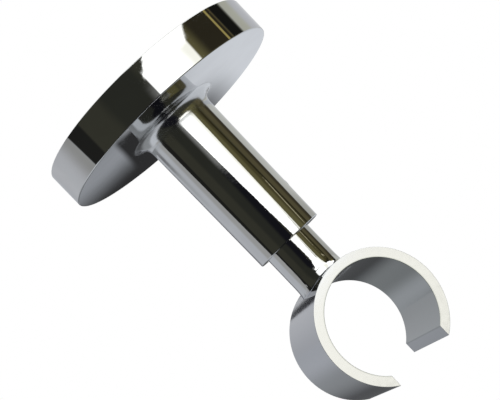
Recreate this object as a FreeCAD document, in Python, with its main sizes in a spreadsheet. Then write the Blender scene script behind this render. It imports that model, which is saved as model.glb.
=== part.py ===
# Ceiling bracket for a round curtain pole: a rosette with a sleeve, and an open ring on a rod.
#
# Frame: the origin is the centre of the rosette's back, on the ceiling. +Z points up into the ceiling,
# the pole runs along Y, and the stem hangs down along -Z. Lengths are in millimetres.

import FreeCAD
import Part
import Sketcher
import os


# Driving dimensions, each written once. The document's sheet holds them under the same names.
DRIVING = {
    # Rosette: the round cover that meets the ceiling, cast in one piece with its sleeve
    "rosette_radius": 22.9,
    "rosette_height": 6.9,
    "rosette_wall": 2.0,
    "rosette_floor": 2.0,
    "rim_draft": 0.1,
    "cup_draft": 0.2,
    "boss_wall": 4.0,
    # Sleeve: the tapered tube that takes the rod
    "sleeve_length": 30.4,
    "sleeve_wall": 1.46,
    "sleeve_taper": 0.32,
    # Rod: the grub screw holds it against one side of the sleeve's bore
    "rod_radius": 4.77,
    "rod_play": 0.5,
    "rod_reach": 8.19,
    "seat_gap": 0.02,
    # Open ring that the pole slides through
    "pole_radius": 10.0,
    "pole_clearance": 0.2,
    "ring_wall": 1.86,
    "ring_width": 17.8,
    "mouth_width": 12.5,
    # Ceiling plate inside the rosette
    "plate_thickness": 2.5,
    "plate_edge_gap": 1.2,
    "plate_hole_radius": 2.25,
    "plate_hole_inset": 6.5,
    "countersink_land": 0.4,
    # Threaded stud, headed over in the plate, that the rosette screws onto
    "stud_radius": 3.0,
    "stud_length": 12.0,
    "stud_recess": 0.1,
    "stud_land": 0.3,
    "stud_end_gap": 1.4,
    "thread_gap": 0.05,
    # Grub screw in the sleeve's side
    "grub_radius": 2.0,
    "grub_length": 2.5,
    "grub_height": 8.0,
    "grub_key": 2.0,
    "grub_socket_depth": 1.3,
    # Roundings and bevels
    "root_fillet": 2.3,
    "rim_bevel": 0.4,
    "cup_bevel": 0.8,
    "edge_bevel": 0.25,
    "joint_fillet": 0.9,
    "bevel": 0.4,
}

SHEET = "Sizes"
CLOSE = 1e-4
ROUNDING = "PartDesign::Fillet"
BEVEL = "PartDesign::Chamfer"


class Length:
    """A length with the formula that gives it from the sheet."""

    def __init__(self, value, formula):
        self.value = value
        self.formula = formula

    def __add__(self, other):
        return Length(self.value + other.value, f"({self.formula} + {other.formula})")

    def __sub__(self, other):
        return Length(self.value - other.value, f"({self.formula} - {other.formula})")

    def __neg__(self):
        return Length(-self.value, f"(-{self.formula})")

    def __rmul__(self, factor):
        return Length(factor * self.value, f"({factor} * {self.formula})")


def size(name):
    """The driving dimension of this name."""
    return Length(DRIVING[name], f"{SHEET}.{name}")


ZERO = Length(0.0, "0")

# Sizes that follow from the driving ones
CUP_DEPTH = size("rosette_height") - size("rosette_floor")
CUP_RADIUS = size("rosette_radius") - size("rosette_wall")
CUP_FLOOR_RADIUS = CUP_RADIUS - size("cup_draft")
FRONT_RADIUS = size("rosette_radius") - size("rim_draft")
STUD_HOLE_RADIUS = size("stud_radius") + size("thread_gap")
BOSS_RADIUS = size("stud_radius") + size("boss_wall")
BORE_RADIUS = size("rod_radius") + size("rod_play") + size("seat_gap")
SLEEVE_END_RADIUS = BORE_RADIUS + size("sleeve_wall")
SLEEVE_ROOT_RADIUS = SLEEVE_END_RADIUS + size("sleeve_taper")
SLEEVE_END = size("rosette_height") + size("sleeve_length")
SHOULDER = size("stud_length") + size("stud_end_gap")
RING_BORE_RADIUS = size("pole_radius") + size("pole_clearance")
RING_RADIUS = RING_BORE_RADIUS + size("ring_wall")
POLE_DROP = SLEEVE_END + size("rod_reach") + RING_RADIUS
PLATE_RADIUS = CUP_FLOOR_RADIUS - size("plate_edge_gap")
PLATE_HOLE_PLACE = PLATE_RADIUS - size("plate_hole_inset")
COUNTERSINK_RADIUS = size("plate_hole_radius") + size("plate_thickness") - size("countersink_land")
STUD_HEAD_BASE = size("plate_thickness") - size("stud_land")
STUD_HEAD_RADIUS = size("stud_radius") + STUD_HEAD_BASE - size("stud_recess")
GRUB_TIP = size("rod_radius") - size("rod_play") + size("seat_gap")
GRUB_OUTER_END = GRUB_TIP + size("grub_length")
GRUB_DROP = SLEEVE_END - size("grub_height")
GRUB_HOLE_RADIUS = size("grub_radius") + size("thread_gap")


def make_sheet(doc):
    """Adds the spreadsheet with the driving dimensions, one named cell a row."""
    sheet = doc.addObject("Spreadsheet::Sheet", SHEET)
    for row, (name, value) in enumerate(DRIVING.items(), start=1):
        sheet.set(f"A{row}", name)
        sheet.set(f"B{row}", str(value))
        sheet.setAlias(f"B{row}", name)
    doc.recompute()


def bind(feature, name, length):
    """Gives a feature's property its value and the formula that keeps it."""
    setattr(feature, name, length.value)
    feature.setExpression(name, length.formula)


def new_sketch(body, name, role, shift=ZERO):
    """Starts a sketch on a plane of the body's own origin, moved along that plane's normal."""
    sketch = body.newObject("Sketcher::SketchObject", name)
    plane = next(item for item in body.Origin.OriginFeatures if item.Role == role)
    sketch.AttachmentSupport = [(plane, "")]
    sketch.MapMode = "FlatFace"
    if shift is not ZERO:
        offset = FreeCAD.Vector(0, 0, shift.value)
        sketch.AttachmentOffset = FreeCAD.Placement(offset, FreeCAD.Rotation())
        sketch.setExpression("AttachmentOffset.Base.z", shift.formula)
    return sketch


def fix_point(sketch, element, vertex, across, up):
    """Ties a point of an element to its distances across and up from the sketch's origin."""
    for kind, zero_line, length in (("DistanceX", -2, across), ("DistanceY", -1, up)):
        if length is ZERO:
            sketch.addConstraint(Sketcher.Constraint("PointOnObject", element, vertex, zero_line))
            continue
        rule = sketch.addConstraint(Sketcher.Constraint(kind, -1, 1, element, vertex, length.value))
        sketch.setExpression(f"Constraints[{rule}]", length.formula)


def add_outline(sketch, corners):
    """Draws a closed outline of straight lines through the corners, each a pair of lengths."""
    points = [FreeCAD.Vector(across.value, up.value, 0) for across, up in corners]
    first = sketch.GeometryCount
    count = len(points)
    for index in range(count):
        sketch.addGeometry(Part.LineSegment(points[index], points[(index + 1) % count]))
    for index in range(count):
        following = first + (index + 1) % count
        sketch.addConstraint(Sketcher.Constraint("Coincident", first + index, 2, following, 1))
    for index, (across, up) in enumerate(corners):
        fix_point(sketch, first + index, 1, across, up)


def add_circle(sketch, across, up, radius):
    """Draws a circle about a point of the sketch."""
    centre = FreeCAD.Vector(across.value, up.value, 0)
    element = sketch.addGeometry(Part.Circle(centre, FreeCAD.Vector(0, 0, 1), radius.value))
    fix_point(sketch, element, 3, across, up)
    rule = sketch.addConstraint(Sketcher.Constraint("Radius", element, radius.value))
    sketch.setExpression(f"Constraints[{rule}]", radius.formula)


def add_hexagon(sketch, across, up, key):
    """Draws a hexagon of this width across its flats, with two flats upright."""
    corner = Length(key.value / 2 * 3**-0.5, f"({key.formula} / 2 / sqrt(3))")
    half = Length(key.value / 2, f"({key.formula} / 2)")
    steps = [(half, corner), (ZERO, 2 * corner), (-half, corner)]
    upper = [(across + right, up + rise) for right, rise in steps]
    lower = [(across - right, up - rise) for right, rise in steps]
    add_outline(sketch, upper + lower)


def revolve(body, name, corners):
    """Turns an outline in the XZ plane about the Z axis."""
    sketch = new_sketch(body, name + "_outline", "XZ_Plane")
    add_outline(sketch, corners)
    turned = body.newObject("PartDesign::Revolution", name)
    turned.Profile = sketch
    turned.ReferenceAxis = (sketch, ["V_Axis"])
    turned.Angle = 360
    body.Document.recompute()
    return turned


def pad(body, name, sketch, length, upward=True, centred=False):
    """Adds material along the sketch's normal, against it, or to both sides."""
    block = body.newObject("PartDesign::Pad", name)
    block.Profile = sketch
    bind(block, "Length", length)
    block.Midplane = centred
    block.Reversed = not upward
    body.Document.recompute()
    return block


def pocket(body, name, sketch, length, upward, centred=False):
    """Cuts along the sketch's normal, against it, or to both sides, and makes sure that it cut."""
    before = body.Shape.Volume
    cut = body.newObject("PartDesign::Pocket", name)
    cut.Profile = sketch
    bind(cut, "Length", length)
    cut.Midplane = centred
    cut.Reversed = upward
    body.Document.recompute()
    if cut.Shape.Volume >= before - CLOSE:
        raise RuntimeError(f"{name} cut nothing")
    return cut


def ring_edges(shape, radius, drop):
    """Names of the level round edges about the Z axis of this radius, this far below the ceiling."""
    names = []
    for index, edge in enumerate(shape.Edges, start=1):
        curve = edge.Curve
        if not isinstance(curve, Part.Circle):
            continue
        level = abs(curve.Axis.z) > 1 - CLOSE
        if level and abs(curve.Radius - radius.value) < CLOSE and abs(curve.Center.z + drop.value) < CLOSE:
            names.append(f"Edge{index}")
    return names


def soften(body, name, kind, edges, amount):
    """Rounds or bevels the named edges of the body's last feature."""
    if not edges:
        raise RuntimeError(f"{name} found no edge")
    base = body.Tip
    feature = body.newObject(kind, name)
    feature.Base = (base, edges)
    bind(feature, "Radius" if kind == ROUNDING else "Size", amount)
    body.Document.recompute()
    return feature


def make_rosette(doc):
    """The casting: a hollow round cover with a tapped boss, a filleted root and a bored sleeve."""
    body = doc.addObject("PartDesign::Body", "rosette")
    revolve(body, "casting", [
        (STUD_HOLE_RADIUS, -size("plate_thickness")),
        (BOSS_RADIUS, -size("plate_thickness")),
        (BOSS_RADIUS, -CUP_DEPTH),
        (CUP_FLOOR_RADIUS, -CUP_DEPTH),
        (CUP_RADIUS, ZERO),
        (size("rosette_radius"), ZERO),
        (FRONT_RADIUS, -size("rosette_height")),
        (SLEEVE_ROOT_RADIUS, -size("rosette_height")),
        (SLEEVE_END_RADIUS, -SLEEVE_END),
        (STUD_HOLE_RADIUS, -SLEEVE_END),
    ])
    mouth = new_sketch(body, "bore_circle", "XY_Plane", -SLEEVE_END)
    add_circle(mouth, ZERO, ZERO, BORE_RADIUS)
    pocket(body, "bore", mouth, SLEEVE_END - SHOULDER, upward=True)
    side = new_sketch(body, "grub_hole_circle", "YZ_Plane")
    add_circle(side, ZERO, -GRUB_DROP, GRUB_HOLE_RADIUS)
    pocket(body, "grub_hole", side, 2 * SLEEVE_ROOT_RADIUS, upward=True)
    root = ring_edges(body.Shape, SLEEVE_ROOT_RADIUS, size("rosette_height"))
    soften(body, "root_blend", ROUNDING, root, size("root_fillet"))
    rim = ring_edges(body.Shape, FRONT_RADIUS, size("rosette_height"))
    soften(body, "rim_bevel", BEVEL, rim, size("rim_bevel"))
    corners = ring_edges(body.Shape, CUP_FLOOR_RADIUS, CUP_DEPTH)
    corners += ring_edges(body.Shape, BOSS_RADIUS, CUP_DEPTH)
    soften(body, "cup_bevels", BEVEL, corners, size("cup_bevel"))
    crisp = ring_edges(body.Shape, size("rosette_radius"), ZERO)
    crisp += ring_edges(body.Shape, CUP_RADIUS, ZERO)
    crisp += ring_edges(body.Shape, SLEEVE_END_RADIUS, SLEEVE_END)
    crisp += ring_edges(body.Shape, BORE_RADIUS, SLEEVE_END)
    soften(body, "edge_bevels", BEVEL, crisp, size("edge_bevel"))
    return body


def make_pole_ring(doc):
    """The open ring and its rod in one piece. The rod's axis is pushed off the sleeve's by the play."""
    body = doc.addObject("PartDesign::Body", "pole_ring")
    disc = new_sketch(body, "ring_circle", "XZ_Plane")
    add_circle(disc, -size("rod_play"), -POLE_DROP, RING_RADIUS)
    pad(body, "ring_disc", disc, size("ring_width"), centred=True)
    top = new_sketch(body, "rod_circle", "XY_Plane", -SHOULDER)
    add_circle(top, -size("rod_play"), ZERO, size("rod_radius"))
    pad(body, "rod", top, POLE_DROP - SHOULDER, upward=False)
    joint = [
        f"Edge{index}"
        for index, edge in enumerate(body.Shape.Edges, start=1)
        if isinstance(edge.Curve, Part.BSplineCurve)
    ]
    soften(body, "joint_blend", ROUNDING, joint, size("joint_fillet"))
    hole = new_sketch(body, "pole_circle", "XZ_Plane")
    add_circle(hole, -size("rod_play"), -POLE_DROP, RING_BORE_RADIUS)
    pocket(body, "pole_hole", hole, 2 * size("ring_width"), upward=True, centred=True)
    half_mouth = Length(DRIVING["mouth_width"] / 2, f"({SHEET}.mouth_width / 2)")
    left = -size("rod_play") - half_mouth
    right = -size("rod_play") + half_mouth
    low = POLE_DROP + RING_RADIUS
    slot = new_sketch(body, "mouth_outline", "XZ_Plane")
    add_outline(slot, [(left, -POLE_DROP), (right, -POLE_DROP), (right, -low), (left, -low)])
    pocket(body, "mouth", slot, 2 * size("ring_width"), upward=True, centred=True)
    half_width = DRIVING["ring_width"] / 2
    rims = [
        f"Edge{index}"
        for index, edge in enumerate(body.Shape.Edges, start=1)
        if isinstance(edge.Curve, Part.Circle) and abs(abs(edge.Curve.Center.y) - half_width) < CLOSE
    ]
    soften(body, "ring_bevels", BEVEL, rims, size("edge_bevel"))
    nose = [
        f"Edge{index}"
        for index, edge in enumerate(body.Shape.Edges, start=1)
        if isinstance(edge.Curve, Part.Circle) and abs(edge.Curve.Center.z + SHOULDER.value) < CLOSE
    ]
    soften(body, "rod_bevel", BEVEL, nose, size("bevel"))
    return body


def make_ceiling_plate(doc):
    """The steel disc that two countersunk screws hold to the ceiling, with the stud's hole in its middle."""
    body = doc.addObject("PartDesign::Body", "ceiling_plate")
    revolve(body, "disc", [
        (size("stud_radius"), -size("plate_thickness")),
        (PLATE_RADIUS, -size("plate_thickness")),
        (PLATE_RADIUS, ZERO),
        (STUD_HEAD_RADIUS + size("stud_recess"), ZERO),
        (size("stud_radius"), -STUD_HEAD_BASE),
    ])
    edges = ring_edges(body.Shape, PLATE_RADIUS, size("plate_thickness"))
    edges += ring_edges(body.Shape, PLATE_RADIUS, ZERO)
    soften(body, "disc_bevels", BEVEL, edges, size("edge_bevel"))
    place = new_sketch(body, "screw_hole_circle", "XY_Plane", -size("plate_thickness"))
    add_circle(place, PLATE_HOLE_PLACE, ZERO, size("plate_hole_radius"))
    doc.recompute()
    before = body.Shape.Volume
    hole = body.newObject("PartDesign::Hole", "screw_hole")
    hole.Profile = place
    hole.ThreadType = "None"
    hole.DepthType = "ThroughAll"
    hole.Reversed = True
    hole.HoleCutType = "Countersink"
    hole.HoleCutCustomValues = True
    hole.HoleCutCountersinkAngle = 90
    bind(hole, "Diameter", 2 * size("plate_hole_radius"))
    bind(hole, "HoleCutDiameter", 2 * COUNTERSINK_RADIUS)
    doc.recompute()
    if hole.Shape.Volume >= before - CLOSE:
        raise RuntimeError("screw_hole cut nothing")
    pair = body.newObject("PartDesign::PolarPattern", "screw_holes")
    pair.Originals = [hole]
    pair.Axis = (place, ["N_Axis"])
    pair.Angle = 360
    pair.Occurrences = 2
    body.Tip = pair
    doc.recompute()
    return body


def make_threaded_stud(doc):
    """The stud, its head spread into the plate's countersink just below the ceiling."""
    body = doc.addObject("PartDesign::Body", "threaded_stud")
    revolve(body, "stud", [
        (ZERO, -size("stud_recess")),
        (STUD_HEAD_RADIUS, -size("stud_recess")),
        (size("stud_radius"), -STUD_HEAD_BASE),
        (size("stud_radius"), -size("stud_length")),
        (ZERO, -size("stud_length")),
    ])
    tip = ring_edges(body.Shape, size("stud_radius"), size("stud_length"))
    soften(body, "stud_bevel", BEVEL, tip, size("bevel"))
    return body


def make_grub_screw(doc):
    """The headless screw with a hexagon socket that holds the rod in the sleeve."""
    body = doc.addObject("PartDesign::Body", "grub_screw")
    end = new_sketch(body, "grub_circle", "YZ_Plane", GRUB_TIP)
    add_circle(end, ZERO, -GRUB_DROP, size("grub_radius"))
    pad(body, "grub", end, size("grub_length"))
    rims = [
        f"Edge{index}"
        for index, edge in enumerate(body.Shape.Edges, start=1)
        if isinstance(edge.Curve, Part.Circle)
    ]
    soften(body, "grub_bevels", BEVEL, rims, size("bevel"))
    socket = new_sketch(body, "socket_outline", "YZ_Plane", GRUB_OUTER_END)
    add_hexagon(socket, ZERO, -GRUB_DROP, size("grub_key"))
    pocket(body, "socket", socket, size("grub_socket_depth"), upward=False)
    return body


def check(doc, bodies):
    """Stops if any object failed or any sub-part isn't one valid solid."""
    for item in doc.Objects:
        if {"Invalid", "Error"} & set(item.State):
            raise RuntimeError(f"{item.Name} failed: {item.State}")
    for body in bodies:
        shape = body.Shape
        if shape.isNull() or not shape.isValid() or len(shape.Solids) != 1:
            raise RuntimeError(f"{body.Label} isn't one valid solid")


def main():
    """Builds every sub-part and writes each to a file named after its label."""
    doc = FreeCAD.newDocument("CurtainPoleBracket")
    make_sheet(doc)
    makers = (make_rosette, make_pole_ring, make_ceiling_plate, make_threaded_stud, make_grub_screw)
    bodies = [maker(doc) for maker in makers]
    doc.recompute()
    check(doc, bodies)
    os.makedirs("parts", exist_ok=True)
    for body in bodies:
        body.Shape.exportStep(os.path.join("parts", body.Label + ".step"))
        box = body.Shape.BoundBox
        print(f"{body.Label}: {body.Shape.Volume:.1f} mm3, z {box.ZMin:.2f} to {box.ZMax:.2f}")


main()
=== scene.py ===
"""Dresses a short ceiling bracket for a round curtain pole.

The bracket is a chromed rosette with a tapered sleeve, an open ring on a rod, and the zinc-plated plate,
stud and grub screw inside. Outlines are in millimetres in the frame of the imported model, and every mesh
is scaled to metres when it is made.
"""

import logging
import math
from collections.abc import Callable, Sequence
from dataclasses import dataclass, field
from enum import Enum

import bmesh
import bpy
import numpy as np
from mathutils import Matrix, Vector


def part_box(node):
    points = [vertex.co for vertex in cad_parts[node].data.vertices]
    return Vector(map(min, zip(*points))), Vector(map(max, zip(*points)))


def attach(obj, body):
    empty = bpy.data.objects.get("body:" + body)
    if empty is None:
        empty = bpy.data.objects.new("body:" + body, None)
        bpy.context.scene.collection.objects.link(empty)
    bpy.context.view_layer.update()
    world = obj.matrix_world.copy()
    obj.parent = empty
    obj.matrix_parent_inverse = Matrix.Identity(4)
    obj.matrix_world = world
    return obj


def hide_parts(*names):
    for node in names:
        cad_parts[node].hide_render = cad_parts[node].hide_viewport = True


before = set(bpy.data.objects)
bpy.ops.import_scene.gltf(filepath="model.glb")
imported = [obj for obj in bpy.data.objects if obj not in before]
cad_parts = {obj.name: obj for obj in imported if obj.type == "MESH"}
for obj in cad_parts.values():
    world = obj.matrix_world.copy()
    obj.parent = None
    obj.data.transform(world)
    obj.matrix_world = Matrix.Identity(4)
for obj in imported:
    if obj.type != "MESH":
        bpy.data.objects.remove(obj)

MM = 0.001
FULL_TURN = 2 * math.pi
ZENITH = 90
BODY = "root"
WELD = 2e-4
SHARP_ANGLE = math.radians(32)
LOG = logging.getLogger("bracket")

Colour = tuple[float, float, float]
Place = tuple[float, float, float]
Profile = list[tuple[float, float]]

CHROME: Colour = (0.565, 0.575, 0.58)
CHROME_SHADE: Colour = (0.545, 0.55, 0.555)


class Slot(Enum):
    """The record's material slots."""

    CASTING = "chromed_casting"
    RING = "chromed_ring"
    PLATE = "zinc_plated_plate"
    STUD = "zinc_plated_stud"
    SCREW = "plated_screw"


class Node(Enum):
    """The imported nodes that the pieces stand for."""

    ROSETTE = "rosette"
    POLE_RING = "pole_ring"
    CEILING_PLATE = "ceiling_plate"
    THREADED_STUD = "threaded_stud"
    GRUB_SCREW = "grub_screw"


@dataclass(frozen=True)
class Extent:
    """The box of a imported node, in millimetres."""

    low: Place
    high: Place

    @classmethod
    def of(cls, node: Node) -> "Extent":
        """Reads a node's box.

        Args:
            node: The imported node.

        Returns:
            Its lowest and highest corners in millimetres.
        """
        low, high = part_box(node.value)
        return cls(tuple(low / MM), tuple(high / MM))


@dataclass(frozen=True)
class Corner:
    """A corner of an outline, with the radius of its rounding."""

    across: float
    up: float
    radius: float = 0.12


def arc_points(centre: Vector, start: Vector, end: Vector, steps: int) -> Profile:
    """Follows the shorter arc between two points about a centre.

    Args:
        centre: The arc's centre.
        start: Its first point.
        end: Its last point.
        steps: How many chords to use.

    Returns:
        The points of the arc, both ends included.
    """
    first = start - centre
    last = end - centre
    sweep = math.atan2(first.x * last.y - first.y * last.x, first.dot(last))
    points = []
    for step in range(steps + 1):
        turned = Matrix.Rotation(sweep * step / steps, 2) @ first
        points.append((centre.x + turned.x, centre.y + turned.y))
    return points


def rounded(corners: Sequence[Corner], steps: int = 8, closed: bool = True) -> Profile:
    """Rounds the corners of an outline.

    Args:
        corners: The corners in order.
        steps: Chords in each rounding.
        closed: Whether the last corner joins the first.

    Returns:
        The points of the rounded outline.
    """
    points: Profile = []
    count = len(corners)
    for index, corner in enumerate(corners):
        here = Vector((corner.across, corner.up))
        at_end = not closed and index in (0, count - 1)
        if at_end or corner.radius == 0:
            points.append((here.x, here.y))
            continue
        before = corners[index - 1]
        after = corners[(index + 1) % count]
        back = (Vector((before.across, before.up)) - here).normalized()
        ahead = (Vector((after.across, after.up)) - here).normalized()
        half = back.angle(ahead) / 2
        reach = corner.radius / math.tan(half)
        centre = here + (back + ahead).normalized() * (corner.radius / math.sin(half))
        points += arc_points(centre, here + back * reach, here + ahead * reach, steps)
    return points


def facet_turns(steps: int) -> np.ndarray:
    """The angles of this many facets round an axis."""
    return np.arange(steps) * FULL_TURN / steps


def around(radii: np.ndarray | float, turns: np.ndarray, heights: np.ndarray | float) -> np.ndarray:
    """Points round the Z axis.

    Args:
        radii: Distances from the axis.
        turns: Angles round it.
        heights: Places along it.

    Returns:
        The points, with their coordinates in the last dimension.
    """
    return np.stack([radii * np.cos(turns), radii * np.sin(turns), heights + 0 * turns], axis=-1)


def add_sheet(
    mesh: bmesh.types.BMesh, points: np.ndarray, wrapped: bool
) -> list[list[bmesh.types.BMVert]]:
    """Adds a grid of faces.

    Args:
        mesh: The mesh that takes the grid.
        points: The grid's points, as rows, columns and coordinates.
        wrapped: Whether the last column joins the first.

    Returns:
        The grid's vertices, row by row.
    """
    rows = [[mesh.verts.new(point) for point in row] for row in points]
    columns = points.shape[1]
    for row, following in zip(rows, rows[1:]):
        for index in range(columns if wrapped else columns - 1):
            beside = (index + 1) % columns
            mesh.faces.new((row[index], row[beside], following[beside], following[index]))
    return rows


def weld(mesh: bmesh.types.BMesh, distance: float) -> None:
    """Joins points that lie together and drops what has no area left.

    Args:
        mesh: The mesh that is welded.
        distance: How near points have to be, in the mesh's own unit.
    """
    bmesh.ops.remove_doubles(mesh, verts=mesh.verts, dist=distance)
    bmesh.ops.dissolve_degenerate(mesh, edges=mesh.edges, dist=distance)


def make_piece(name: str, mesh: bmesh.types.BMesh) -> bpy.types.Object:
    """Turns a mesh in millimetres into a piece in metres.

    Args:
        name: The piece's name.
        mesh: The mesh, which is freed.

    Returns:
        The new piece.
    """
    weld(mesh, WELD)
    bmesh.ops.recalc_face_normals(mesh, faces=mesh.faces)
    bmesh.ops.scale(mesh, vec=(MM, MM, MM), verts=mesh.verts)
    data = bpy.data.meshes.new(name)
    mesh.to_mesh(data)
    mesh.free()
    piece = bpy.data.objects.new(name, data)
    bpy.context.scene.collection.objects.link(piece)
    return piece


def lathe(name: str, outline: Profile, steps: int, closed: bool = True) -> bpy.types.Object:
    """Turns an outline about the Z axis.

    Args:
        name: The piece's name.
        outline: Radius and height of each point.
        steps: Facets round the axis.
        closed: Whether the outline is a closed loop off the axis. An open one ends on the axis.

    Returns:
        The turned piece.
    """
    radii, heights = np.array(outline).T[..., None]
    points = around(radii, facet_turns(steps), heights)
    if closed:
        points = np.concatenate([points, points[:1]])
    mesh = bmesh.new()
    add_sheet(mesh, points, wrapped=True)
    return make_piece(name, mesh)


def bake(piece: bpy.types.Object) -> None:
    """Replaces a piece's mesh with what its modifiers make of it.

    Args:
        piece: The piece, which loses its modifiers.
    """
    bpy.context.view_layer.update()
    graph = bpy.context.evaluated_depsgraph_get()
    plain = piece.data
    piece.data = bpy.data.meshes.new_from_object(piece.evaluated_get(graph))
    piece.modifiers.clear()
    bpy.data.meshes.remove(plain)
    piece.data.name = piece.name


def cut(piece: bpy.types.Object, cutters: Sequence[bpy.types.Object]) -> bpy.types.Object:
    """Cuts shapes out of a piece and removes the cutters.

    Args:
        piece: The piece that is cut.
        cutters: The shapes to take away.

    Returns:
        The same piece.
    """
    for cutter in cutters:
        modifier = piece.modifiers.new("cut", "BOOLEAN")
        modifier.operation = "DIFFERENCE"
        modifier.solver = "EXACT"
        modifier.object = cutter
    bake(piece)
    for cutter in cutters:
        bpy.data.objects.remove(cutter)
    mesh = bmesh.new()
    mesh.from_mesh(piece.data)
    weld(mesh, WELD * MM)
    mesh.to_mesh(piece.data)
    mesh.free()
    return piece


def smooth(piece: bpy.types.Object) -> None:
    """Shades a piece smooth, with crisp creases and level flats.

    The normals are weighed by area, which Blender only does well in millimetres at this size.

    Args:
        piece: The piece that is shaded.
    """
    piece.data.shade_smooth()
    piece.data.set_sharp_from_angle(angle=SHARP_ANGLE)
    piece.data.transform(Matrix.Scale(1 / MM, 4))
    modifier = piece.modifiers.new("level_flats", "WEIGHTED_NORMAL")
    modifier.keep_sharp = True
    bake(piece)
    piece.data.transform(Matrix.Scale(MM, 4))


@dataclass(frozen=True)
class Wire:
    """A node's output that takes part in arithmetic. Each operator adds a Math node."""

    graph: "Graph"
    socket: bpy.types.NodeSocket

    def __add__(self, other: "Wire | float") -> "Wire":
        """This value plus another."""
        return self.graph.math("ADD", self, other)

    def __radd__(self, other: float) -> "Wire":
        """A number plus this value."""
        return self.graph.math("ADD", other, self)

    def __sub__(self, other: "Wire | float") -> "Wire":
        """This value less another."""
        return self.graph.math("SUBTRACT", self, other)

    def __rsub__(self, other: float) -> "Wire":
        """A number less this value."""
        return self.graph.math("SUBTRACT", other, self)

    def __mul__(self, other: "Wire | float") -> "Wire":
        """This value times another."""
        return self.graph.math("MULTIPLY", self, other)

    def __rmul__(self, other: float) -> "Wire":
        """A number times this value."""
        return self.graph.math("MULTIPLY", other, self)

    def __truediv__(self, other: "Wire | float") -> "Wire":
        """This value over another."""
        return self.graph.math("DIVIDE", self, other)

    def __rtruediv__(self, other: float) -> "Wire":
        """A number over this value."""
        return self.graph.math("DIVIDE", other, self)

    def __abs__(self) -> "Wire":
        """This value without its sign."""
        return self.graph.math("ABSOLUTE", self)

    def rise(self, low: float, high: float) -> "Wire":
        """Climbs softly from 0 at low to 1 at high.

        Args:
            low: Where the climb starts.
            high: Where it ends.

        Returns:
            The climbing value.
        """
        settings = {"interpolation_type": "SMOOTHSTEP"}
        inputs = {"Value": self, "From Min": low, "From Max": high}
        return self.graph.add("ShaderNodeMapRange", settings, inputs)

    def larger(self, other: "Wire | float") -> "Wire":
        """The larger of this value and another."""
        return self.graph.math("MAXIMUM", self, other)

    def parts(self) -> tuple["Wire", "Wire", "Wire"]:
        """This vector's X, Y and Z."""
        split = self.graph.add("ShaderNodeSeparateXYZ", None, {0: self}).socket.node
        return tuple(Wire(self.graph, output) for output in split.outputs)

    def noise(self, wavelength: float, detail: float = 2.0) -> "Wire":
        """Smooth noise from 0 to 1, read at this place.

        Args:
            wavelength: The size of its grains, in the place's unit.
            detail: How many finer layers it has.

        Returns:
            The noise.
        """
        inputs = {"Vector": self, "Scale": 1 / wavelength, "Detail": detail, "Roughness": 0.5}
        return self.graph.add("ShaderNodeTexNoise", None, inputs, "Fac")


class Graph:
    """A node tree under construction."""

    def __init__(self, tree: bpy.types.NodeTree) -> None:
        """Empties the tree."""
        self.tree = tree
        tree.nodes.clear()

    def add(
        self, kind: str, settings: dict | None = None, inputs: dict | None = None, output: str = ""
    ) -> Wire:
        """Adds a node.

        Args:
            kind: The node's type.
            settings: Its own properties, which are set before its inputs.
            inputs: Values or wires of its sockets, by name, identifier or index.
            output: The output to give back, by name or identifier. The first one if empty.

        Returns:
            The wire from that output.
        """
        node = self.tree.nodes.new(kind)
        for name, value in (settings or {}).items():
            setattr(node, name, value)
        for name, value in (inputs or {}).items():
            socket = self.find(node.inputs, name)
            if isinstance(value, Wire):
                self.tree.links.new(value.socket, socket)
            elif isinstance(value, tuple) and socket.type == "RGBA":
                socket.default_value = (*value, 1)
            else:
                socket.default_value = value
        outputs = [item for item in node.outputs if item.enabled] or list(node.outputs)
        if not outputs:
            return Wire(self, None)
        return Wire(self, self.find(node.outputs, output) if output else outputs[0])

    @staticmethod
    def find(sockets: bpy.types.bpy_prop_collection, name: str | int) -> bpy.types.NodeSocket:
        """Finds a socket.

        Args:
            sockets: A node's inputs or outputs.
            name: The socket's identifier, name or index.

        Returns:
            The socket.
        """
        if isinstance(name, int):
            return sockets[name]
        matching = [item for item in sockets if item.identifier == name]
        return matching[0] if matching else sockets[name]

    def math(self, operation: str, *values: Wire | float) -> Wire:
        """Adds a Math node with this operation on these values."""
        return self.add("ShaderNodeMath", {"operation": operation}, dict(enumerate(values)))

    def vector(self, operation: str, first: Wire | Place, second: Wire | Place, output: str = "") -> Wire:
        """Adds a Vector Math node with this operation on two vectors."""
        return self.add("ShaderNodeVectorMath", {"operation": operation}, {0: first, 1: second}, output)

    def blend(self, factor: Wire | float, first: Wire | Colour, second: Wire | Colour) -> Wire:
        """Mixes two colours.

        Args:
            factor: The share of the second colour.
            first: The first colour.
            second: The second colour.

        Returns:
            The mixed colour.
        """
        inputs = {"Factor_Float": factor, "A_Color": first, "B_Color": second}
        return self.add("ShaderNodeMix", {"data_type": "RGBA"}, inputs, "Result_Color")

    def here(self) -> Wire:
        """The shaded point in the piece's own frame, in metres."""
        return self.add("ShaderNodeTexCoord", None, None, "Object")


@dataclass(frozen=True)
class Ripple:
    """Unevenness of a polished surface: the size of its waves and how steeply they tilt it."""

    wavelength: float
    tilt: float
    stretch: Place = (1.0, 1.0, 1.0)
    detail: float = 1.0

    def height(self, place: Wire) -> Wire:
        """Adds the ripple's nodes.

        Args:
            place: The shaded point in metres.

        Returns:
            The ripple's height in metres.
        """
        scaled = place.graph.vector("DIVIDE", place, self.stretch)
        waves = scaled.noise(self.wavelength * MM, self.detail)
        amplitude = math.radians(self.tilt) * self.wavelength * MM
        return (waves - 0.5) * amplitude


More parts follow.
